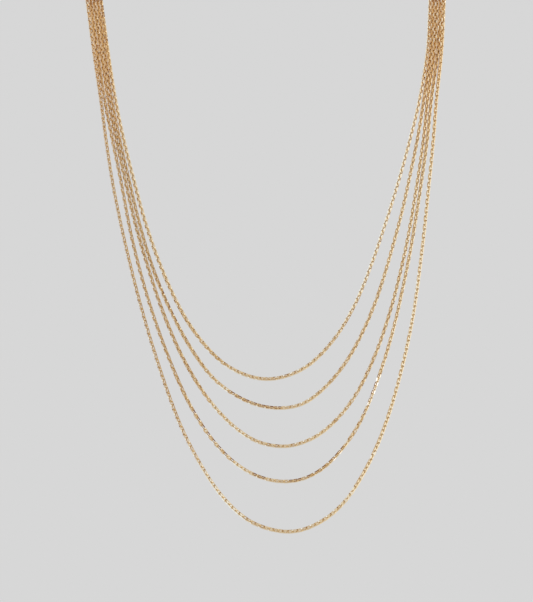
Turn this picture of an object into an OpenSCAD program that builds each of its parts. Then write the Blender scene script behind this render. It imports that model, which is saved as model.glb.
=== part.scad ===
// Necklace of five fine chains on one clasp, in the form that it hangs in.
// Millimetres, +Z up, the front faces -Y. The origin is in the middle of the neck.

/* [Chains] */
// Thickness over the links of one chain
chain_d = 0.9; // [0.7:0.05:1.2]
// Clear gap between neighbouring chains where they lie side by side as a band
band_gap = 0.12; // [0.1:0.02:0.3]
// Clear gap between the end of a chain's tube and the clasp's tab
end_gap = 0.1; // [0.05:0.05:0.3]

/* [Chest] */
// Forward lean of the chest that the chains lie on, in mm for each mm down
chest_lean = 0.3; // [0.1:0.02:0.45]
// Radius of the chest's curve from side to side
chest_r = 150; // [110:5:300]
// How far the chest's middle lies in front of the neck's centre, at the collar
chest_y = 38; // [34:1:44]
// How far the collar lies below the neck's centre
collar_drop = 30; // [26:1:34]

/* [Clasp] */
// Diameter of the clasp's tube
clasp_d = 3.2; // [2.6:0.1:4]
// Length that the tube reaches past the outermost chain, at each end
clasp_over = 0.9; // [0.6:0.1:2]
// Radius of the rounding at the tube's ends
clasp_round = 0.6; // [0.3:0.1:1]
// Distance of the clasp's centre behind the neck's centre
clasp_y = 50; // [49:0.5:52]
// Height of the clasp's centre above the neck's centre
clasp_z = 8; // [7:0.5:9]
// Width of the groove where the tube's sleeve ends
groove_w = 0.25; // [0.15:0.05:0.5]
// Depth of that groove
groove_depth = 0.15; // [0.1:0.05:0.3]
// Thickness of the drilled tabs
tab_t = 0.35; // [0.3:0.05:0.45]
// Reach of each tab past the tube
tab_reach = 1.2; // [1:0.1:2]
// Diameter of the holes that the end links pass through
eye_d = 0.62; // [0.5:0.02:0.7]
// Metal left between a hole and the tab's end
eye_rim = 0.25; // [0.2:0.05:0.35]
// Clear gap between neighbouring chains at the clasp, where every other link stands upright
eye_gap = 0.4; // [0.35:0.05:0.6]

/* [Hidden] */
$fn = 48;

STRANDS = 5;
SIDES = 8;
RINGS_A_SPAN = 2;
MIDDLE = (STRANDS + 1) / 2;

// Distance from one chain's centre to the next in the band
band_pitch = chain_d + band_gap;
// Distance from one hole of a tab to the next
eye_pitch = chain_d + eye_gap;
tab_end_x = clasp_d / 2 + tab_reach;
clasp_h = (STRANDS - 1) * eye_pitch + chain_d + 2 * clasp_over;
tab_h = (STRANDS - 1) * eye_pitch + eye_d + 2 * eye_rim;

// Route of the band's middle chain from the clasp round the neck to the collar, for the left and the right.
// Each row holds x, y, z and the band's lean in degrees: 90 where it stands on edge, 0 where it lies flat.
BAND_LEFT = [
    [-24, 46.3, 7.2, 90],
    [-40.5, 34, 5.2, 80],
    [-50, 17.5, 2, 62],
    [-53.6, 2, -2.5, 40],
    [-54, -11.5, -8.5, 22],
    [-52.8, -22, -18, 8],
    [-50.5, -29.5, -30, 0],
    [-48.2, -34.8, -45, 0]
];
BAND_RIGHT = [
    [24, 46.3, 7.2, 90],
    [40.5, 34, 5.2, 80],
    [49.8, 17.5, 2, 62],
    [52.9, 2, -2.5, 40],
    [52.6, -11.5, -8.5, 22],
    [51.3, -22, -18, 8],
    [49.9, -29.7, -30, 0],
    [48.8, -34.6, -45, 0]
];

// Route of each chain across the front, from the left of the collar to the right. Each row holds x and z.
FRONT = [
    [
        [-43.5, -60], [-40.8, -72], [-37.6, -84], [-34.1, -96], [-29.7, -108], [-24.6, -119],
        [-19.2, -127.5], [-12.6, -134.5], [-6, -138.2], [0.5, -139.4], [7.1, -138], [13.1, -134.4],
        [19.4, -127.5], [24.8, -118.4], [29.2, -108], [33.5, -96], [37.4, -84], [40.9, -72], [44, -60]
    ],
    [
        [-44.6, -60], [-42, -72], [-39, -84], [-35.9, -96], [-32.1, -108], [-27, -120],
        [-20.9, -131], [-14.1, -139.7], [-6, -145.1], [2, -147.2], [9.6, -146.2], [16.1, -141.6], [22.1, -134.5],
        [27.2, -125.4], [31.9, -114], [37.4, -96], [40.4, -84], [43.1, -72], [45.3, -60]
    ],
    [
        [-45.6, -60], [-43, -72], [-40.1, -84], [-37.1, -96], [-33.4, -108], [-29.2, -120],
        [-23.9, -132.1], [-17.5, -142.8], [-10.4, -150.9], [-3, -156], [5, -157.5], [12.5, -155.4],
        [19, -150.5], [25, -142.9], [30.4, -132], [34.7, -120], [38, -108], [40.7, -96], [42.9, -84],
        [44.9, -72], [46.4, -60]
    ],
    [
        [-46.7, -60], [-44.1, -72], [-41.4, -84], [-38, -100], [-33.5, -116], [-27.7, -132], [-21.2, -146.1],
        [-14.5, -156.1], [-7.5, -162.7], [0, -166.2], [7.5, -166.7], [14.1, -164.2], [20.1, -158.9],
        [25.6, -151.1], [30.4, -140.4], [35.2, -126], [39.6, -108], [42, -96], [44.1, -84], [46, -72],
        [47.5, -60]
    ],
    [
        [-47.8, -60], [-46, -72], [-43.5, -86], [-39.8, -102], [-35.2, -119], [-29.9, -135.5], [-24, -151],
        [-18.1, -162.2], [-12.1, -170.7], [-5.6, -176.6], [1.5, -179.5], [8.5, -179.8], [15.6, -176.9],
        [21.6, -171.7], [27.1, -163.6], [32.1, -153.1], [36.7, -139.3], [40.7, -123], [43.7, -104.5],
        [46.1, -86], [47.8, -72], [49, -60]
    ]
];

function unit(v) = v / norm(v);

// The chest's surface under a point of the front
function chest(p) = [p.x, -chest_y + chest_lean * (p[1] + collar_drop) + p.x * p.x / (2 * chest_r), p[1]];

// Points of strand n along one side's band, a row for each row of the table, moved off the middle chain
function band(rows, n) = [
    for (i = [0:len(rows) - 1])
        let (
            here = [rows[i].x, rows[i].y, rows[i].z],
            near = rows[max(i - 1, 0)],
            far = rows[min(i + 1, len(rows) - 1)],
            along = unit([far.x - near.x, far.y - near.y, far.z - near.z]),
            lean = rows[i][3],
            out = [sign(here.x) * cos(lean), 0, -sin(lean)],
            across = unit(out - (out * along) * along)
        )
        here + across * (n - MIDDLE) * band_pitch
];

// Where strand n meets the clasp's tab on one side, -1 for the left and 1 for the right
function tab_seat(side, n) = [side * (tab_end_x + end_gap), clasp_y, clasp_z - (n - MIDDLE) * eye_pitch];

function reversed(list) = [for (i = [len(list) - 1:-1:0]) list[i]];

// The whole route of strand n, from the clasp round the left side, across the front and back
function route(n) = concat(
    [tab_seat(-1, n)],
    band(BAND_LEFT, n),
    [for (p = FRONT[n - 1]) chest(p)],
    reversed(band(BAND_RIGHT, n)),
    [tab_seat(1, n)]
);

// A point of the smooth curve through four points, at share t of the span from b to c
function curve_at(a, b, c, d, t) = (
    2 * b + (c - a) * t + (2 * a - 5 * b + 4 * c - d) * pow(t, 2) + (3 * b - a - 3 * c + d) * pow(t, 3)
) / 2;

// The smooth curve through a route's points, with a few rings on each span
function smooth(points) = concat(
    [
        for (i = [0:len(points) - 2], k = [0:RINGS_A_SPAN - 1])
            curve_at(
                points[max(i - 1, 0)], points[i], points[i + 1], points[min(i + 2, len(points) - 1)],
                k / RINGS_A_SPAN
            )
    ],
    [points[len(points) - 1]]
);

// Direction of a path at its point i
function heading(path, i) = unit(path[min(i + 1, len(path) - 1)] - path[max(i - 1, 0)]);

// A vector across the path at each point, carried along the path without twist
function carried(path, i, across) =
    i == len(path) ? [] : let (
        along = heading(path, i),
        now = unit(across - (across * along) * along)
    ) concat([now], carried(path, i + 1, now));

// A closed tube round a path
module tube(path, d) {
    sideways = carried(path, 0, [0, 0, 1]);
    rings = [
        for (i = [0:len(path) - 1], k = [0:SIDES - 1])
            let (
                angle = 360 * (k + 0.5) / SIDES,
                lift = cross(heading(path, i), sideways[i])
            )
            path[i] + (cos(angle) * sideways[i] + sin(angle) * lift) * d / 2
    ];
    last = (len(path) - 1) * SIDES;
    walls = [
        for (i = [0:len(path) - 2], k = [0:SIDES - 1])
            let (a = i * SIDES + k, b = i * SIDES + (k + 1) % SIDES)
            [a, a + SIDES, b + SIDES, b]
    ];
    start_cap = [for (k = [0:SIDES - 1]) k];
    end_cap = [for (k = [SIDES - 1:-1:0]) last + k];
    polyhedron(points = rings, faces = concat([start_cap], walls, [end_cap]));
}

module strand(n) {
    color("goldenrod") tube(smooth(route(n)), chain_d);
}

// The clasp's upright tube, turned from one profile with rounded ends and the sleeve's groove
module clasp_tube() {
    rotate_extrude() {
        difference() {
            union() {
                translate([0, -clasp_h / 2]) square([clasp_d / 2 - clasp_round, clasp_h]);
                translate([0, -clasp_h / 2 + clasp_round]) square([clasp_d / 2, clasp_h - 2 * clasp_round]);
                for (end = [-1, 1]) {
                    translate([clasp_d / 2 - clasp_round, end * (clasp_h / 2 - clasp_round)])
                        circle(clasp_round);
                }
            }
            translate([-clasp_d, -clasp_h]) square([clasp_d, 2 * clasp_h]);
            translate([clasp_d / 2 - groove_depth, -tab_h / 2 - groove_w]) square([clasp_d, groove_w]);
        }
    }
}

// The drilled tabs at the clasp's two sides, as one plate that runs through the tube
module tabs() {
    rotate([90, 0, 0]) {
        linear_extrude(height = tab_t, center = true) {
            difference() {
                square([2 * tab_end_x, tab_h], center = true);
                for (side = [-1, 1], n = [1:STRANDS]) {
                    translate([side * (tab_end_x - eye_rim - eye_d / 2), (n - MIDDLE) * eye_pitch])
                        circle(d = eye_d);
                }
            }
        }
    }
}

module clasp() {
    color("gold") translate([0, clasp_y, clasp_z]) {
        clasp_tube();
        tabs();
    }
}

strand(1);  // strand_1
strand(2);  // strand_2
strand(3);  // strand_3
strand(4);  // strand_4
strand(5);  // strand_5
clasp();
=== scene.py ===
"""Dresses the necklace's five plain strands in real links of cut gold chain and sets up its studio.

Lengths are in metres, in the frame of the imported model: +Z up, the front faces -Y, and the origin lies
in the middle of the neck. Each strand becomes one piece of interlocking links along the strand's own route.
"""

import math

import bpy
from mathutils import Matrix, Vector


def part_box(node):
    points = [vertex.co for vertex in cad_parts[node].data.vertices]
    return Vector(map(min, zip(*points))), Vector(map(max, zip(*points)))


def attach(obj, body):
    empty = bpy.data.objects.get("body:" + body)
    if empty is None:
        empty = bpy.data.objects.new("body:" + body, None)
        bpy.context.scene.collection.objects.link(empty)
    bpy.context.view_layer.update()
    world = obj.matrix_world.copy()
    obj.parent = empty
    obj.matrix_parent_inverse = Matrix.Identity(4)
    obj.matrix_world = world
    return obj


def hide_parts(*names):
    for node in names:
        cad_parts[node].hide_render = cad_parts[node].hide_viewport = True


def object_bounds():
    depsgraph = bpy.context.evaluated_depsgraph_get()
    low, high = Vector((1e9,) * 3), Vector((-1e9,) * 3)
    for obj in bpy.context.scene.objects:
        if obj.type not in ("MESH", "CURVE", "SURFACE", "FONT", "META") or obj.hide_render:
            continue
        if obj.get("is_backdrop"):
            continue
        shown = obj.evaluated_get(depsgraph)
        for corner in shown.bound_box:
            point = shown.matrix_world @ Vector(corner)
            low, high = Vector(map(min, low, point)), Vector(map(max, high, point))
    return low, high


bl_info = {
    "name": "Layered Chain Necklace",
    "version": (1, 0, 0),
    "blender": (4, 5, 0),
    "location": "View3D > Sidebar > Necklace",
    "description": "Makes the cut links of a layered chain necklace, its gold and its studio",
    "category": "Object",
}

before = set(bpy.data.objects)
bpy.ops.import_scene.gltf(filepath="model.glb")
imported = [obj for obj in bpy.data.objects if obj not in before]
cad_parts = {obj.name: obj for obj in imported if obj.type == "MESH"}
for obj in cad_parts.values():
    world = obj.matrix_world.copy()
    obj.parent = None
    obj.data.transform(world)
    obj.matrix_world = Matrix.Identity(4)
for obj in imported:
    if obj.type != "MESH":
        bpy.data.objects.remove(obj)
CAD_LOW, CAD_HIGH = (list(corner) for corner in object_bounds())

BODY = "root"
# The strands, from the shortest to the longest, and the number of the one in the middle of the band
STRANDS = ("strand_1", "strand_2", "strand_3", "strand_4", "strand_5")
MIDDLE = (len(STRANDS) + 1) / 2

# Distance from one strand to the next in the band
BAND_PITCH = 0.00102
# The chest: how far it leans forward for each metre down, its radius from side to side, how far its middle
# lies in front of the neck's centre at the collar, and how far the collar lies below that centre
CHEST_LEAN = 0.3
CHEST_RADIUS = 0.15
CHEST_FRONT = 0.038
COLLAR_DROP = 0.03
# The links on the chest are set half way round to this point, far in front
LINKS_FACE = Vector((0, -1.3, -0.118))

# The clasp: its centre, the distance from one hole to the next, and how far the end links reach into its tabs
CLASP_Y = 0.05
CLASP_Z = 0.008
EYE_PITCH = 0.0013
HOOK_DEPTH = 0.0006

# Route of the band's middle chain from the clasp to the collar: a point, and the band's lean in degrees,
# 90 where it stands on edge and 0 where it lies flat
BAND_LEFT = (
    ((-0.024, 0.0463, 0.0072), 90),
    ((-0.0405, 0.034, 0.0052), 80),
    ((-0.05, 0.0175, 0.002), 62),
    ((-0.0536, 0.002, -0.0025), 40),
    ((-0.054, -0.0115, -0.0085), 22),
    ((-0.0528, -0.022, -0.018), 8),
    ((-0.0505, -0.0295, -0.03), 0),
    ((-0.0482, -0.0348, -0.045), 0),
)
BAND_RIGHT = (
    ((0.024, 0.0463, 0.0072), 90),
    ((0.0405, 0.034, 0.0052), 80),
    ((0.0498, 0.0175, 0.002), 62),
    ((0.0529, 0.002, -0.0025), 40),
    ((0.0526, -0.0115, -0.0085), 22),
    ((0.0513, -0.022, -0.018), 8),
    ((0.0499, -0.0297, -0.03), 0),
    ((0.0488, -0.0346, -0.045), 0),
)

# Route of each chain across the front, from the left of the collar to the right: x and z
FRONT = (
    (
        (-0.0435, -0.06), (-0.0408, -0.072), (-0.0376, -0.084), (-0.0341, -0.096),
        (-0.0297, -0.108), (-0.0246, -0.119), (-0.0192, -0.1275), (-0.0126, -0.1345),
        (-0.006, -0.1382), (0.0005, -0.1394), (0.0071, -0.138), (0.0131, -0.1344), (0.0194, -0.1275),
        (0.0248, -0.1184), (0.0292, -0.108), (0.0335, -0.096), (0.0374, -0.084), (0.0409, -0.072),
        (0.044, -0.06),
    ),
    (
        (-0.0446, -0.06), (-0.042, -0.072), (-0.039, -0.084), (-0.0359, -0.096), (-0.0321, -0.108),
        (-0.027, -0.12), (-0.0209, -0.131), (-0.0141, -0.1397), (-0.006, -0.1451), (0.002, -0.1472),
        (0.0096, -0.1462), (0.0161, -0.1416), (0.0221, -0.1345), (0.0272, -0.1254), (0.0319, -0.114),
        (0.0374, -0.096), (0.0404, -0.084), (0.0431, -0.072), (0.0453, -0.06),
    ),
    (
        (-0.0456, -0.06), (-0.043, -0.072), (-0.0401, -0.084), (-0.0371, -0.096),
        (-0.0334, -0.108), (-0.0292, -0.12), (-0.0239, -0.1321), (-0.0175, -0.1428),
        (-0.0104, -0.1509), (-0.003, -0.156), (0.005, -0.1575), (0.0125, -0.1554), (0.019, -0.1505),
        (0.025, -0.1429), (0.0304, -0.132), (0.0347, -0.12), (0.038, -0.108), (0.0407, -0.096),
        (0.0429, -0.084), (0.0449, -0.072), (0.0464, -0.06),
    ),
    (
        (-0.0467, -0.06), (-0.0441, -0.072), (-0.0414, -0.084), (-0.038, -0.1), (-0.0335, -0.116),
        (-0.0277, -0.132), (-0.0212, -0.1461), (-0.0145, -0.1561), (-0.0075, -0.1627), (0, -0.1662),
        (0.0075, -0.1667), (0.0141, -0.1642), (0.0201, -0.1589), (0.0256, -0.1511), (0.0304, -0.1404),
        (0.0352, -0.126), (0.0396, -0.108), (0.042, -0.096), (0.0441, -0.084), (0.046, -0.072),
        (0.0475, -0.06),
    ),
    (
        (-0.0478, -0.06), (-0.046, -0.072), (-0.0435, -0.086), (-0.0398, -0.102),
        (-0.0352, -0.119), (-0.0299, -0.1355), (-0.024, -0.151), (-0.0181, -0.1622),
        (-0.0121, -0.1707), (-0.0056, -0.1766), (0.0015, -0.1795), (0.0085, -0.1798),
        (0.0156, -0.1769), (0.0216, -0.1717), (0.0271, -0.1636), (0.0321, -0.1531), (0.0367, -0.1393),
        (0.0407, -0.123), (0.0437, -0.1045), (0.0461, -0.086), (0.0478, -0.072), (0.049, -0.06),
    ),
)

# Distance from one link to the next in each strand, and how thick its links are made next to the others'
LINK_PITCH = (0.00109, 0.00113, 0.00117, 0.00124, 0.00129)
LINK_THICKNESS = (1.04, 1.02, 1.02, 1.0, 1.05)
# How far along a strand, from either end, its links stop lying as loosely as in the band
BAND_ENDS = (0.13, 0.18)
# Heights between which the strands draw together into the band, over which the gold's painted shade comes in
BAND_SHADE_HEIGHTS = (-0.08, -0.05)

# Stretches of each strand whose links lie turned a little further than the rest, and so go dark or flash:
# the distance along the strand where each starts and ends, and the turn of its odd and even links in degrees
TURNS = (
    (),
    ((0.212, 0.2285, 8, 0), (0.2495, 0.2675, 6, -4.5)),
    (),
    (
        (0.2485, 0.262, 8, 0), (0.2595, 0.271, 6, -3.5), (0.2745, 0.2805, 6, -4.5),
        (0.2855, 0.2995, 7, -4.5), (0.2975, 0.3065, 9, -9), (0.3145, 0.3205, 10, 0),
        (0.319, 0.3295, 8, -8),
    ),
    (),
)
# Length over which such a turn comes and goes, and over which the links by the clasp come to their lean
TURN_EASE = 0.002
END_EASE = 0.008

# Steps in a link's bend, and in a route from one of its points to the next
BEND_STEPS = 4
STEPS_A_SPAN = 8
# Share of the wire's side within which two places count as one
SLACK = 0.01

# The gold: scale of its slow drift of colour, and how much that drift and a link's own tone count
DRIFT_SCALE = 120.0
DRIFT_DETAIL = 2.0
DRIFT_SHARE = 0.6
TONE_SHARE = 0.4
# Tone of a piece that isn't made of links
PLAIN_TONE = 0.5
# The polishing marks: how rough they are next to the metal's own roughness, and how deep they show
MARKS_ROUGHNESS = (0.6, 1.5)
MARKS_DETAIL = 3.0
MARKS_STRENGTH = 0.15

# The studio: its middle is the middle of the necklace's front
FRONT_CENTRE = Vector((0, -0.05, -0.11))
WORLD_LIGHT = 0.75
# The ground: shares of the studio's radius that lie flat and that the cove to the wall takes up, steps of the
# outline and the cove, and how much light the ground throws back and gives off
FLAT_SHARE = 0.7
COVE_SHARE = 0.3
GROUND_SIDES = 96
COVE_STEPS = 12
GROUND_PAINT = 0.1
GROUND_LIGHT = 0.9
# The light tent, and its light from left to right: place, from 0 to 1, and colour
TENT_RADIUS = 1.3
TENT_DEPTH = 2.4
TENT_SIDES = 64
TENT_STOPS = (
    (0.02, (0.72, 0.81, 1.08)), (0.06, (0.95, 1.17, 1.55)), (0.14, (0.95, 1.17, 1.55)),
    (0.26, (0.74, 0.76, 0.8)), (0.5, (0.73, 0.71, 0.68)), (0.85, (0.82, 0.79, 0.68)),
    (0.93, (0.82, 0.79, 0.68)), (0.985, (1.1, 1.13, 1.13)),
)
# Dark flags, in degrees: name, from and to which angle off the line to the camera, and round it from +X
FLAGS = (
    ("front_flag", 58, 86, 45, 125),
    ("side_flag", 60, 79, 125, 138),
    ("back_flag", 104.5, 124, 5, 175),
    ("high_flag", 96, 105, 62, 126),
    ("left_flag", 99.5, 105, 50, 62),
)
FLAG_COLOUR = (0.2, 0.07, 0.01)
FLAG_STEPS = 24
# Reach of the flags and the small lights from the middle of the front
LIGHTS_REACH = 1.1
# Small lights, in degrees: name, angle off the line to the camera, angle round it from +X, width, length and
# then brightness
SPARKS = (
    ("spark_right_inner", 82, 136, 4, 10, 1.3),
    ("spark_right_outer", 82, 0, 4, 10, 1.3),
    ("spark_low_front", 77, -24, 5, 7, 1.3),
)
SPARK_COLOUR = (0.75, 0.95, 1.5)
# The camera's picture width and clipping
SENSOR_WIDTH = 36.0
CLIP = (0.01, 20.0)


class ChainSettings(bpy.types.PropertyGroup):
    """Sizes of the links and how they lie."""

    wire: bpy.props.FloatProperty(
        name="Wire", description="Side of a link's square wire", default=0.00033, min=0.0001,
        unit="LENGTH", precision=5,
    )
    opening: bpy.props.FloatProperty(
        name="Opening", description="Width of the opening inside a link", default=0.00037, min=0.0001,
        unit="LENGTH", precision=5,
    )
    play: bpy.props.FloatProperty(
        name="Play", description="Clearance along the strand between one link and the next", default=0.0001,
        min=0.0, unit="LENGTH", precision=5,
    )
    chamfer: bpy.props.FloatProperty(
        name="Chamfer", description="Cut taken off the wire's inner corners at the ends of a link",
        default=0.0001, min=0.0, unit="LENGTH", precision=5,
    )
    lean: bpy.props.FloatProperty(
        name="Lean", description="Turn of the links to the line of sight", default=math.radians(45),
        subtype="ANGLE",
    )
    sway: bpy.props.FloatProperty(
        name="Sway", description="Largest chance turn of one link on the front", default=math.radians(2),
        min=0.0, subtype="ANGLE",
    )
    band_sway: bpy.props.FloatProperty(
        name="Sway in the band", description="Largest chance turn of one link in the band",
        default=math.radians(3.5), min=0.0, subtype="ANGLE",
    )
    seed: bpy.props.IntProperty(
        name="Seed", description="Start of the chance turns and tones", default=7, min=0,
    )


class GoldSettings(bpy.types.PropertyGroup):
    """Colour and polish of the gold."""

    colour: bpy.props.FloatVectorProperty(
        name="Gold", description="Colour of most links", subtype="COLOR", size=3, min=0.0, max=1.0,
        default=(0.88, 0.7, 0.45),
    )
    pale: bpy.props.FloatVectorProperty(
        name="Pale gold", description="Colour of the palest links", subtype="COLOR", size=3,
        min=0.0, max=1.0, default=(0.92, 0.77, 0.55),
    )
    # Painted shade: darkens and warms the gold where the strands lie close together in the band
    band_shade_tint: bpy.props.FloatVectorProperty(
        name="Band tint", description="Makes the gold deeper where the chains lie close together as a band",
        subtype="COLOR", size=3, min=0.0, max=1.0, default=(1.0, 0.92, 0.81),
    )
    polish: bpy.props.FloatProperty(
        name="Roughness", description="Roughness of the polished metal", default=0.14, min=0.0, max=1.0,
        subtype="FACTOR",
    )
    grain: bpy.props.FloatProperty(
        name="Grain", description="Size of the finest polishing marks", default=0.00006, min=0.00001,
        unit="LENGTH", precision=5,
    )


class StudioSettings(bpy.types.PropertyGroup):
    """Ground, lights and camera."""

    ground: bpy.props.FloatVectorProperty(
        name="Ground", description="Colour of the floor and the wall behind", subtype="COLOR", size=3,
        min=0.0, max=1.0, default=(0.68, 0.68, 0.68),
    )
    floor_drop: bpy.props.FloatProperty(
        name="Floor drop", description="Distance from the lowest chain down to the floor", default=1.0,
        min=0.0, unit="LENGTH",
    )
    room: bpy.props.FloatProperty(
        name="Room", description="Radius of the round studio", default=2.2, min=1.5, unit="LENGTH",
    )
    distance: bpy.props.FloatProperty(
        name="Camera distance", description="Distance of the camera in front of the neck's centre",
        default=0.69, min=0.3, unit="LENGTH",
    )
    height: bpy.props.FloatProperty(
        name="Camera height", description="Height of the camera over the neck's centre", default=-0.118,
        unit="LENGTH",
    )
    lens: bpy.props.FloatProperty(
        name="Lens", description="Focal length", default=135.0, min=20.0, unit="CAMERA",
    )


def deselect_all():
    """Leaves edit mode and selects nothing."""
    if bpy.context.object is not None and bpy.context.object.mode != "OBJECT":
        bpy.ops.object.mode_set(mode="OBJECT")
    bpy.ops.object.select_all(action="DESELECT")


def make_active(piece):
    """Selects one piece alone."""
    deselect_all()
    piece.select_set(True)
    bpy.context.view_layer.objects.active = piece


# Route of a strand


def band(rows, strand):
    """Points of one strand along one side's band, each with the direction that the band faces."""
    points = []
    for i, (place, lean) in enumerate(rows):
        here = Vector(place)
        near = Vector(rows[max(i - 1, 0)][0])
        far = Vector(rows[min(i + 1, len(rows) - 1)][0])
        along = (far - near).normalized()
        side = math.copysign(1, here.x)
        out = Vector((side * math.cos(math.radians(lean)), 0, -math.sin(math.radians(lean))))
        across = (out - out.dot(along) * along).normalized()
        points.append((here + across * (strand - MIDDLE) * BAND_PITCH, side * along.cross(across)))
    return points


def chest(x, z):
    """The chest's surface under a point of the front, with the direction that the links there face."""
    y = -CHEST_FRONT + CHEST_LEAN * (z + COLLAR_DROP) + x * x / (2 * CHEST_RADIUS)
    place = Vector((x, y, z))
    return place, (LINKS_FACE - place).normalized()


def end_link(side, strand, link_length, wire):
    """Middle of the link that hangs in the clasp's hole on one side, with the direction that it faces."""
    tab_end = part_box("clasp")[1].x
    x = tab_end - HOOK_DEPTH + (link_length - wire) / 2
    return Vector((side * x, CLASP_Y, CLASP_Z - (strand - MIDDLE) * EYE_PITCH)), Vector((0, 1, 0))


def route(strand, link_length, wire):
    """The whole route of a strand from the clasp round the left side, across the front and back."""
    return (
        [end_link(-1, strand, link_length, wire)]
        + band(BAND_LEFT, strand)
        + [chest(x, z) for x, z in FRONT[strand - 1]]
        + band(BAND_RIGHT, strand)[::-1]
        + [end_link(1, strand, link_length, wire)]
    )


def curve_at(a, b, c, d, t):
    """A point of the smooth curve through four points, at share t of the span from b to c."""
    return (2 * b + (c - a) * t + (2 * a - 5 * b + 4 * c - d) * t**2 + (3 * b - a - 3 * c + d) * t**3) / 2


def smooth(points):
    """The smooth curve through points, with a few steps on each span."""
    last = len(points) - 1
    steps = []
    for i in range(last):
        corners = (points[max(i - 1, 0)], points[i], points[i + 1], points[min(i + 2, last)])
        steps += [curve_at(*corners, k / STEPS_A_SPAN) for k in range(STEPS_A_SPAN)]
    return steps + [points[last]]


def ramp(value, start, end):
    """0 before start, 1 after end, smooth between them."""
    share = min(max((value - start) / (end - start), 0), 1)
    return share * share * (3 - 2 * share)


def lean_at(distance, length, lean):
    """Turn of all links at a distance along a strand: none in the clasp's holes, then the lean."""
    return lean * ramp(distance, 0, END_EASE) * ramp(length - distance, 0, END_EASE)


def sway_at(distance, length, chain):
    """Largest chance turn of a link at a distance along a strand, larger in the band than on the front."""
    front = ramp(min(distance, length - distance), *BAND_ENDS)
    return chain.band_sway + (chain.sway - chain.band_sway) * front


def turn_at(strand, distance, kind):
    """Further turn of the odd links, kind 0, or the even ones, kind 1, at a distance along a strand."""
    turn = 0
    for start, end, *degrees in TURNS[strand - 1]:
        inside = ramp(distance, start, start + TURN_EASE) * ramp(-distance, -end, -end + TURN_EASE)
        turn += math.radians(degrees[kind]) * inside
    return turn


# The links


def inner_bend_edge(edge, corners, straight, ring_radius, wire):
    """Whether an edge runs along the inner side of one of a link's two bends."""
    a, b = (corners[i].co for i in edge.vertices)

    def radius(p):
        return math.hypot(max(abs(p.x) - straight / 2, 0), p.y)

    along = abs(a.z - b.z) < wire * SLACK and max(radius(a), radius(b)) < ring_radius
    return along and abs(a.x + b.x) / 2 > straight / 2 + wire * SLACK


def make_link(name, pitch, thickness, chain):
    """One link lying along X: its wire runs down one side, round the bend, back and round again."""
    wire = chain.wire * thickness
    opening = chain.opening * thickness
    ring_radius = (wire + opening) / 2
    straight = pitch + chain.play - opening
    deselect_all()
    bpy.ops.mesh.primitive_plane_add(
        size=wire, rotation=(0, math.pi / 2, 0), location=(-straight / 2, -ring_radius, 0)
    )
    link = bpy.context.object
    link.name = name
    bpy.ops.object.transform_apply(location=True, rotation=True, scale=True)
    bpy.ops.object.mode_set(mode="EDIT")
    bpy.ops.mesh.delete(type="ONLY_FACE")
    bpy.ops.mesh.select_all(action="SELECT")
    for side in (1, -1):
        bpy.ops.mesh.extrude_region_move(TRANSFORM_OT_translate={"value": (side * straight, 0, 0)})
        bpy.ops.mesh.spin(
            steps=BEND_STEPS, angle=-math.pi, center=(side * straight / 2, 0, 0), axis=(0, 0, 1), dupli=False
        )
    bpy.ops.mesh.select_all(action="SELECT")
    bpy.ops.mesh.remove_doubles(threshold=wire * SLACK)
    bpy.ops.mesh.normals_make_consistent(inside=False)
    bpy.ops.mesh.select_all(action="DESELECT")
    bpy.ops.mesh.select_mode(type="EDGE")
    bpy.ops.object.mode_set(mode="OBJECT")
    for edge in link.data.edges:
        edge.select = inner_bend_edge(edge, link.data.vertices, straight, ring_radius, wire)
    bpy.ops.object.mode_set(mode="EDIT")
    bpy.ops.mesh.bevel(affect="EDGES", offset=chain.chamfer, segments=1)
    bpy.ops.mesh.select_mode(type="VERT")
    bpy.ops.object.mode_set(mode="OBJECT")
    bpy.ops.object.shade_flat()
    return link


def add_node(tree, kind, **settings):
    """A new node with its settings."""
    node = tree.nodes.new(kind)
    for key, value in settings.items():
        setattr(node, key, value)
    return node


def join(source, out, target, into):
    """Leads one node's output to another node's input."""
    source.id_data.links.new(source.outputs[out], target.inputs[into])


def route_value(tree, name, data_type="FLOAT"):
    """Reads what the route holds under a name at each step."""
    value = add_node(tree, "GeometryNodeInputNamedAttribute", data_type=data_type)
    value.inputs["Name"].default_value = name
    return value


def chance_value(tree, given, number, low, high):
    """A chance value for each link, by its number and the strand's seed."""
    chance = add_node(tree, "FunctionNodeRandomValue", data_type="FLOAT")
    chance.inputs[2].default_value = low
    chance.inputs[3].default_value = high
    join(number, "Index", chance, "ID")
    join(given, "Seed", chance, "Seed")
    return chance


def link_direction(tree):
    """Lays each link along the route, with its face where the route faces."""
    direction = add_node(tree, "FunctionNodeAxesToRotation", primary_axis="X", secondary_axis="Y")
    join(add_node(tree, "GeometryNodeInputTangent"), "Tangent", direction, "Primary Axis")
    join(route_value(tree, "facing", "FLOAT_VECTOR"), "Attribute", direction, "Secondary Axis")
    return direction


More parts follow.
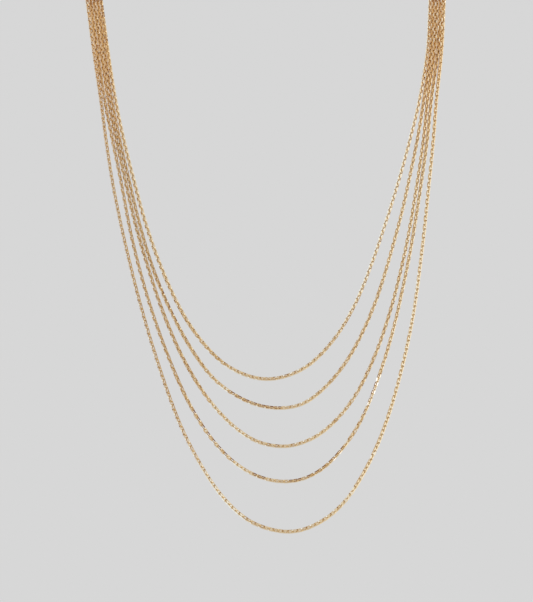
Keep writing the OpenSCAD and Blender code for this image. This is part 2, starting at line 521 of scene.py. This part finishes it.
def link_roll(tree, given, number):
    """Turns each link about its own line: the lean, a quarter turn for every other link, and its sway."""
    odd = add_node(tree, "ShaderNodeMath", operation="MODULO")
    odd.inputs[1].default_value = 2
    join(number, "Index", odd, 0)
    further = add_node(tree, "ShaderNodeMix", data_type="FLOAT")
    join(odd, 0, further, "Factor")
    join(route_value(tree, "even_turn"), "Attribute", further, "A")
    join(route_value(tree, "odd_turn"), "Attribute", further, "B")
    leaning = add_node(tree, "ShaderNodeMath", operation="ADD")
    join(route_value(tree, "lean"), "Attribute", leaning, 0)
    join(further, "Result", leaning, 1)
    quarter = add_node(tree, "ShaderNodeMath", operation="MULTIPLY_ADD")
    quarter.inputs[1].default_value = math.pi / 2
    join(odd, 0, quarter, 0)
    join(leaning, 0, quarter, 2)
    swaying = add_node(tree, "ShaderNodeMath", operation="MULTIPLY_ADD")
    join(chance_value(tree, given, number, -1.0, 1.0), 1, swaying, 0)
    join(route_value(tree, "sway"), "Attribute", swaying, 1)
    join(quarter, 0, swaying, 2)
    roll = add_node(tree, "FunctionNodeAxisAngleToRotation")
    roll.inputs["Axis"].default_value = (1, 0, 0)
    join(swaying, 0, roll, "Angle")
    return roll


def link_row_nodes():
    """Geometry nodes that set a link at each step of a route, every other one a quarter turn on."""
    tree = bpy.data.node_groups.new("Row of links", "GeometryNodeTree")
    tree.is_modifier = True
    for name, kind in (("Route", "Geometry"), ("Link", "Object"), ("Count", "Int"), ("Seed", "Int")):
        tree.interface.new_socket(name, in_out="INPUT", socket_type="NodeSocket" + kind)
    tree.interface.new_socket("Links", in_out="OUTPUT", socket_type="NodeSocketGeometry")
    given = add_node(tree, "NodeGroupInput")
    number = add_node(tree, "GeometryNodeInputIndex")

    curve = add_node(tree, "GeometryNodeMeshToCurve")
    bent = add_node(tree, "GeometryNodeCurveSplineType", spline_type="CATMULL_ROM")
    steps = add_node(tree, "GeometryNodeResampleCurve", mode="COUNT")
    join(given, "Route", curve, "Mesh")
    join(curve, "Curve", bent, "Curve")
    join(bent, "Curve", steps, "Curve")
    join(given, "Count", steps, "Count")

    rotation = add_node(tree, "FunctionNodeRotateRotation", rotation_space="LOCAL")
    join(link_direction(tree), "Rotation", rotation, "Rotation")
    join(link_roll(tree, given, number), "Rotation", rotation, "Rotate By")
    shape = add_node(tree, "GeometryNodeObjectInfo")
    join(given, "Link", shape, "Object")
    row = add_node(tree, "GeometryNodeInstanceOnPoints")
    join(steps, "Curve", row, "Points")
    join(shape, "Geometry", row, "Instance")
    join(rotation, "Rotation", row, "Rotation")

    toned = add_node(tree, "GeometryNodeStoreNamedAttribute", data_type="FLOAT", domain="INSTANCE")
    toned.inputs["Name"].default_value = "tone"
    join(row, "Instances", toned, "Geometry")
    join(chance_value(tree, given, number, 0.0, 1.0), 1, toned, "Value")
    real = add_node(tree, "GeometryNodeRealizeInstances")
    join(toned, "Geometry", real, "Geometry")
    join(real, "Geometry", add_node(tree, "NodeGroupOutput"), "Links")
    return tree


def route_mesh(name, strand, link_length, wire, chain):
    """The route as a mesh line that holds, at each point, where the strand faces and how its links turn."""
    corners = route(strand, link_length, wire)
    places = smooth([place for place, _ in corners])
    facings = smooth([facing for _, facing in corners])
    distances = [0.0]
    for near, far in zip(places, places[1:]):
        distances.append(distances[-1] + (far - near).length)
    length = distances[-1]
    mesh = bpy.data.meshes.new(name)
    mesh.from_pydata(places, [(i, i + 1) for i in range(len(places) - 1)], [])
    facing = mesh.attributes.new("facing", "FLOAT_VECTOR", "POINT")
    facing.data.foreach_set("vector", [c for direction in facings for c in direction.normalized()])
    kept = {
        "lean": [lean_at(d, length, chain.lean) for d in distances],
        "odd_turn": [turn_at(strand, d, 0) for d in distances],
        "even_turn": [turn_at(strand, d, 1) for d in distances],
        "sway": [sway_at(d, length, chain) for d in distances],
    }
    for key, values in kept.items():
        attribute = mesh.attributes.new(key, "FLOAT", "POINT")
        attribute.data.foreach_set("value", values)
    return mesh, length


def make_strand(number, nodes, metal, chain):
    """One strand as a row of real links from the clasp's left tab to its right one."""
    node = STRANDS[number - 1]
    pitch = LINK_PITCH[number - 1]
    thickness = LINK_THICKNESS[number - 1]
    wire = chain.wire * thickness
    link_length = pitch + 2 * wire + chain.play
    mesh, length = route_mesh(node + "_links", number, link_length, wire, chain)
    pairs = round(length / pitch / 2)
    link = make_link(node + "_link", length / (2 * pairs), thickness, chain)
    strand = bpy.data.objects.new(node + "_links", mesh)
    bpy.context.scene.collection.objects.link(strand)
    row = strand.modifiers.new("Row of links", "NODES")
    row.node_group = nodes
    sockets = {item.name: item.identifier for item in nodes.interface.items_tree if item.in_out == "INPUT"}
    row[sockets["Link"]] = link
    row[sockets["Count"]] = 2 * pairs + 1
    row[sockets["Seed"]] = chain.seed + number
    make_active(strand)
    bpy.ops.object.modifier_apply(modifier=row.name)
    bpy.data.objects.remove(link)
    strand.data.materials.clear()
    strand.data.materials.append(metal)
    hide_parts(node)
    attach(strand, BODY)


# Materials


def new_material(name):
    """A new material with its shader."""
    material = bpy.data.materials.new(name)
    material.use_nodes = True
    return material, material.node_tree.nodes["Principled BSDF"]


def gold_colour(tree, place, settings, tone_name):
    """A slow drift of colour with a tone for each link, and painted shade that makes it deeper where the
    strands lie as a band.
    """
    drift = add_node(tree, "ShaderNodeTexNoise")
    drift.inputs["Scale"].default_value = DRIFT_SCALE
    drift.inputs["Detail"].default_value = DRIFT_DETAIL
    join(place, "Object", drift, "Vector")
    share = add_node(tree, "ShaderNodeMath", operation="MULTIPLY_ADD")
    share.inputs[1].default_value = DRIFT_SHARE
    share.inputs[2].default_value = PLAIN_TONE
    join(drift, "Fac", share, 0)
    if tone_name:
        tone = add_node(tree, "ShaderNodeAttribute", attribute_name=tone_name)
        less = add_node(tree, "ShaderNodeMath", operation="MULTIPLY")
        less.inputs[1].default_value = TONE_SHARE
        join(tone, "Fac", less, 0)
        join(less, 0, share, 2)
    blend = add_node(tree, "ShaderNodeMix", data_type="RGBA")
    blend.inputs["A"].default_value = (*settings.colour, 1)
    blend.inputs["B"].default_value = (*settings.pale, 1)
    join(share, 0, blend, "Factor")

    # Painted shade: the gold turns deeper over the heights where the strands draw together into the band, and
    # stays so above them
    height = add_node(tree, "ShaderNodeSeparateXYZ")
    join(place, "Object", height, "Vector")
    close = add_node(tree, "ShaderNodeMapRange")
    close.inputs["From Min"].default_value, close.inputs["From Max"].default_value = BAND_SHADE_HEIGHTS
    join(height, "Z", close, "Value")
    deeper = add_node(tree, "ShaderNodeMix", data_type="RGBA", blend_type="MULTIPLY")
    deeper.inputs["B"].default_value = (*settings.band_shade_tint, 1)
    join(close, "Result", deeper, "Factor")
    join(blend, "Result", deeper, "A")
    return deeper


def gold(name, settings, tone_name=None):
    """Polished gold with fine polishing marks and the band's painted shade. tone_name is the attribute that
    holds each link's tone.
    """
    metal, shader = new_material(name)
    tree = metal.node_tree
    shader.inputs["Metallic"].default_value = 1.0
    place = add_node(tree, "ShaderNodeTexCoord")
    join(gold_colour(tree, place, settings, tone_name), "Result", shader, "Base Color")

    marks = add_node(tree, "ShaderNodeTexNoise")
    marks.inputs["Scale"].default_value = 1 / settings.grain / 4
    marks.inputs["Detail"].default_value = MARKS_DETAIL
    join(place, "Object", marks, "Vector")
    polish = add_node(tree, "ShaderNodeMapRange")
    polish.inputs["To Min"].default_value = settings.polish * MARKS_ROUGHNESS[0]
    polish.inputs["To Max"].default_value = settings.polish * MARKS_ROUGHNESS[1]
    join(marks, "Fac", polish, "Value")
    join(polish, "Result", shader, "Roughness")
    bump = add_node(tree, "ShaderNodeBump")
    bump.inputs["Strength"].default_value = MARKS_STRENGTH
    bump.inputs["Distance"].default_value = settings.grain / 10
    join(marks, "Fac", bump, "Height")
    join(bump, "Normal", shader, "Normal")
    return metal


def ground_material(settings):
    """Pale, matt and even: most of its light is its own, so that it shows no gradient."""
    paper, shader = new_material("pale_ground")
    shader.inputs["Base Color"].default_value = (GROUND_PAINT, GROUND_PAINT, GROUND_PAINT, 1)
    shader.inputs["Roughness"].default_value = 1.0
    shader.inputs["Specular IOR Level"].default_value = 0.0
    shader.inputs["Emission Color"].default_value = (*settings.ground, 1)
    shader.inputs["Emission Strength"].default_value = GROUND_LIGHT
    return paper


def glow(name, stops):
    """Light that changes from left to right, as stops of place along X, from 0 to 1, and colour."""
    cloth, shader = new_material(name)
    tree = cloth.node_tree
    shader.inputs["Base Color"].default_value = (0, 0, 0, 1)
    shader.inputs["Specular IOR Level"].default_value = 0.0
    shader.inputs["Emission Strength"].default_value = 1.0
    across = add_node(tree, "ShaderNodeSeparateXYZ")
    share = add_node(tree, "ShaderNodeMapRange")
    share.inputs["From Min"].default_value = -TENT_RADIUS
    share.inputs["From Max"].default_value = TENT_RADIUS
    colours = add_node(tree, "ShaderNodeValToRGB")
    marks = colours.color_ramp.elements
    while len(marks) < len(stops):
        marks.new(0.5)
    for mark, (at, colour) in zip(marks, stops):
        mark.position = at
        mark.color = (*colour, 1)
    join(add_node(tree, "ShaderNodeTexCoord"), "Object", across, "Vector")
    join(across, "X", share, "Value")
    join(share, "Result", colours, "Fac")
    join(colours, "Color", shader, "Emission Color")
    return cloth


# Studio


def make_ground(settings):
    """A round floor that sweeps up into a wall all round."""
    flat = settings.room * FLAT_SHARE
    cove = settings.room * COVE_SHARE
    deselect_all()
    bpy.ops.mesh.primitive_circle_add(
        vertices=GROUND_SIDES, radius=flat, fill_type="NGON",
        location=(0, 0, CAD_LOW[2] - settings.floor_drop),
    )
    ground = bpy.context.object
    ground.name = "ground"
    bpy.ops.object.mode_set(mode="EDIT")
    for k in range(1, COVE_STEPS + 1):
        before = math.pi / 2 * (k - 1) / COVE_STEPS
        now = math.pi / 2 * k / COVE_STEPS
        rise = cove * (math.cos(before) - math.cos(now))
        wider = (flat + cove * math.sin(now)) / (flat + cove * math.sin(before))
        bpy.ops.mesh.extrude_region_move(TRANSFORM_OT_translate={"value": (0, 0, rise)})
        bpy.ops.transform.resize(value=(wider, wider, 1))
    bpy.ops.mesh.extrude_region_move(TRANSFORM_OT_translate={"value": (0, 0, settings.room)})
    bpy.ops.mesh.select_all(action="SELECT")
    bpy.ops.mesh.normals_make_consistent(inside=True)
    bpy.ops.object.mode_set(mode="OBJECT")
    bpy.ops.object.transform_apply(location=True, rotation=True, scale=True)
    bpy.ops.object.shade_smooth()
    ground.data.materials.append(ground_material(settings))
    ground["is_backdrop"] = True


def hidden_from_view(thing, shadow=False):
    """Leaves a light or a card to the metal's reflections alone. With shadow, it also stops other light."""
    thing.visible_camera = False
    thing.visible_diffuse = False
    thing.visible_shadow = shadow


def around_front(polar, azimuth, reach):
    """A place at a reach from the middle of the front: polar from the line to the camera, azimuth from +X."""
    out = math.sin(polar) * reach
    return FRONT_CENTRE + Vector((out * math.cos(azimuth), -math.cos(polar) * reach, out * math.sin(azimuth)))


def make_tent():
    """A round light tent about the line of sight: cool daylight on the left, warmer light to the right."""
    deselect_all()
    bpy.ops.mesh.primitive_cylinder_add(
        vertices=TENT_SIDES, radius=TENT_RADIUS, depth=TENT_DEPTH, end_fill_type="NOTHING",
        location=FRONT_CENTRE, rotation=(math.pi / 2, 0, 0),
    )
    tent = bpy.context.object
    tent.name = "light_tent"
    bpy.ops.object.mode_set(mode="EDIT")
    bpy.ops.mesh.select_all(action="SELECT")
    bpy.ops.mesh.normals_make_consistent(inside=True)
    bpy.ops.object.mode_set(mode="OBJECT")
    bpy.ops.object.transform_apply(location=True, rotation=True, scale=True)
    tent.data.materials.append(glow("tent_cloth", TENT_STOPS))
    hidden_from_view(tent)
    tent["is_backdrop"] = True


def make_flags():
    """Dark arches about the camera's line of sight, which the turned stretches of chain mirror."""
    cloth = glow("flag_cloth", ((0.0, FLAG_COLOUR), (1.0, FLAG_COLOUR)))
    for name, *angles in FLAGS:
        near, far, start, end = (math.radians(angle) for angle in angles)
        corner = around_front(near, start, LIGHTS_REACH)
        deselect_all()
        bpy.ops.mesh.primitive_plane_add(size=LIGHTS_REACH, location=corner)
        flag = bpy.context.object
        flag.name = name
        bpy.ops.object.transform_apply(location=True, rotation=True, scale=True)
        bpy.ops.object.mode_set(mode="EDIT")
        bpy.ops.mesh.select_all(action="SELECT")
        bpy.ops.mesh.merge(type="CENTER")
        bpy.ops.mesh.extrude_region_move(
            TRANSFORM_OT_translate={"value": around_front(far, start, LIGHTS_REACH) - corner}
        )
        bpy.ops.mesh.select_all(action="SELECT")
        bpy.ops.mesh.spin(
            steps=FLAG_STEPS, angle=end - start, center=FRONT_CENTRE, axis=(0, 1, 0), dupli=False
        )
        bpy.ops.object.mode_set(mode="OBJECT")
        flag.data.materials.append(cloth)
        hidden_from_view(flag, shadow=True)
        flag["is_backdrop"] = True


def make_sparks():
    """Small bright lights that flash in the turned stretches."""
    for name, *angles, brightness in SPARKS:
        polar, azimuth, width, length = (math.radians(angle) for angle in angles)
        place = around_front(polar, azimuth, LIGHTS_REACH)
        back = (place - FRONT_CENTRE).normalized()
        round_front = Vector((-math.sin(azimuth), 0, math.cos(azimuth)))
        deselect_all()
        bpy.ops.object.light_add(type="AREA", location=place)
        lamp = bpy.context.object
        lamp.name = name
        lamp.rotation_euler = Matrix((round_front.cross(back), round_front, back)).transposed().to_euler()
        lamp.data.color = SPARK_COLOUR
        lamp.data.shape = "RECTANGLE"
        lamp.data.size = 2 * LIGHTS_REACH * math.tan(width / 2)
        lamp.data.size_y = 2 * LIGHTS_REACH * math.tan(length / 2)
        lamp.data.energy = brightness * math.pi * lamp.data.size * lamp.data.size_y
        hidden_from_view(lamp)


def make_world():
    """Even light from above the round wall."""
    world = bpy.data.worlds.new("soft_light")
    world.use_nodes = True
    background = world.node_tree.nodes["Background"]
    background.inputs["Color"].default_value = (1, 1, 1, 1)
    background.inputs["Strength"].default_value = WORLD_LIGHT
    bpy.context.scene.world = world


def make_camera(settings):
    """The photo's view: level, straight at the front, from far off."""
    deselect_all()
    bpy.ops.object.camera_add(
        location=(0, -settings.distance, settings.height), rotation=(math.pi / 2, 0, 0)
    )
    camera = bpy.context.object
    camera.name = "camera"
    camera.data.lens = settings.lens
    camera.data.sensor_width = SENSOR_WIDTH
    camera.data.clip_start, camera.data.clip_end = CLIP
    bpy.context.scene.camera = camera


class NECKLACE_OT_strands(bpy.types.Operator):
    """Make the five strands of cut gold links"""

    bl_idname = "necklace.strands"
    bl_label = "Strands"

    def execute(self, context):
        chain = context.scene.necklace_chain
        metal = gold("chain_gold", context.scene.necklace_gold, "tone")
        nodes = link_row_nodes()
        for number in range(1, len(STRANDS) + 1):
            make_strand(number, nodes, metal, chain)
        return {"FINISHED"}


class NECKLACE_OT_clasp(bpy.types.Operator):
    """Polish the clasp"""

    bl_idname = "necklace.clasp"
    bl_label = "Clasp"

    def execute(self, context):
        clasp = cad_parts["clasp"]
        clasp.data.materials.clear()
        clasp.data.materials.append(gold("clasp_gold", context.scene.necklace_gold))
        return {"FINISHED"}


class NECKLACE_OT_studio(bpy.types.Operator):
    """Set up the ground, the lights and the camera"""

    bl_idname = "necklace.studio"
    bl_label = "Studio"

    def execute(self, context):
        settings = context.scene.necklace_studio
        make_ground(settings)
        make_world()
        make_tent()
        make_flags()
        make_sparks()
        make_camera(settings)
        context.scene.view_settings.view_transform = "Standard"
        return {"FINISHED"}


class NECKLACE_PT_panel(bpy.types.Panel):
    """Sizes, colours and steps of the necklace"""

    bl_idname = "NECKLACE_PT_panel"
    bl_label = "Layered Chain Necklace"
    bl_space_type = "VIEW_3D"
    bl_region_type = "UI"
    bl_category = "Necklace"

    def draw(self, context):
        for group in ("necklace_chain", "necklace_gold", "necklace_studio"):
            settings = getattr(context.scene, group)
            box = self.layout.box()
            for name in settings.__annotations__:
                box.prop(settings, name)
        for step in OPERATORS:
            self.layout.operator(step.bl_idname)


GROUPS = {
    "necklace_chain": ChainSettings,
    "necklace_gold": GoldSettings,
    "necklace_studio": StudioSettings,
}
OPERATORS = (NECKLACE_OT_strands, NECKLACE_OT_clasp, NECKLACE_OT_studio)


def register():
    """Registers the settings, the steps and the panel."""
    for kind in (*GROUPS.values(), *OPERATORS, NECKLACE_PT_panel):
        bpy.utils.register_class(kind)
    for name, kind in GROUPS.items():
        setattr(bpy.types.Scene, name, bpy.props.PointerProperty(type=kind))


def unregister():
    """Takes back what register did."""
    for name in GROUPS:
        delattr(bpy.types.Scene, name)
    for kind in (NECKLACE_PT_panel, *OPERATORS, *GROUPS.values()):
        bpy.utils.unregister_class(kind)


def main():
    """Makes the studio and dresses the necklace."""
    register()
    bpy.ops.necklace.studio()
    bpy.ops.necklace.strands()
    bpy.ops.necklace.clasp()


if __name__ == "__main__":
    main()
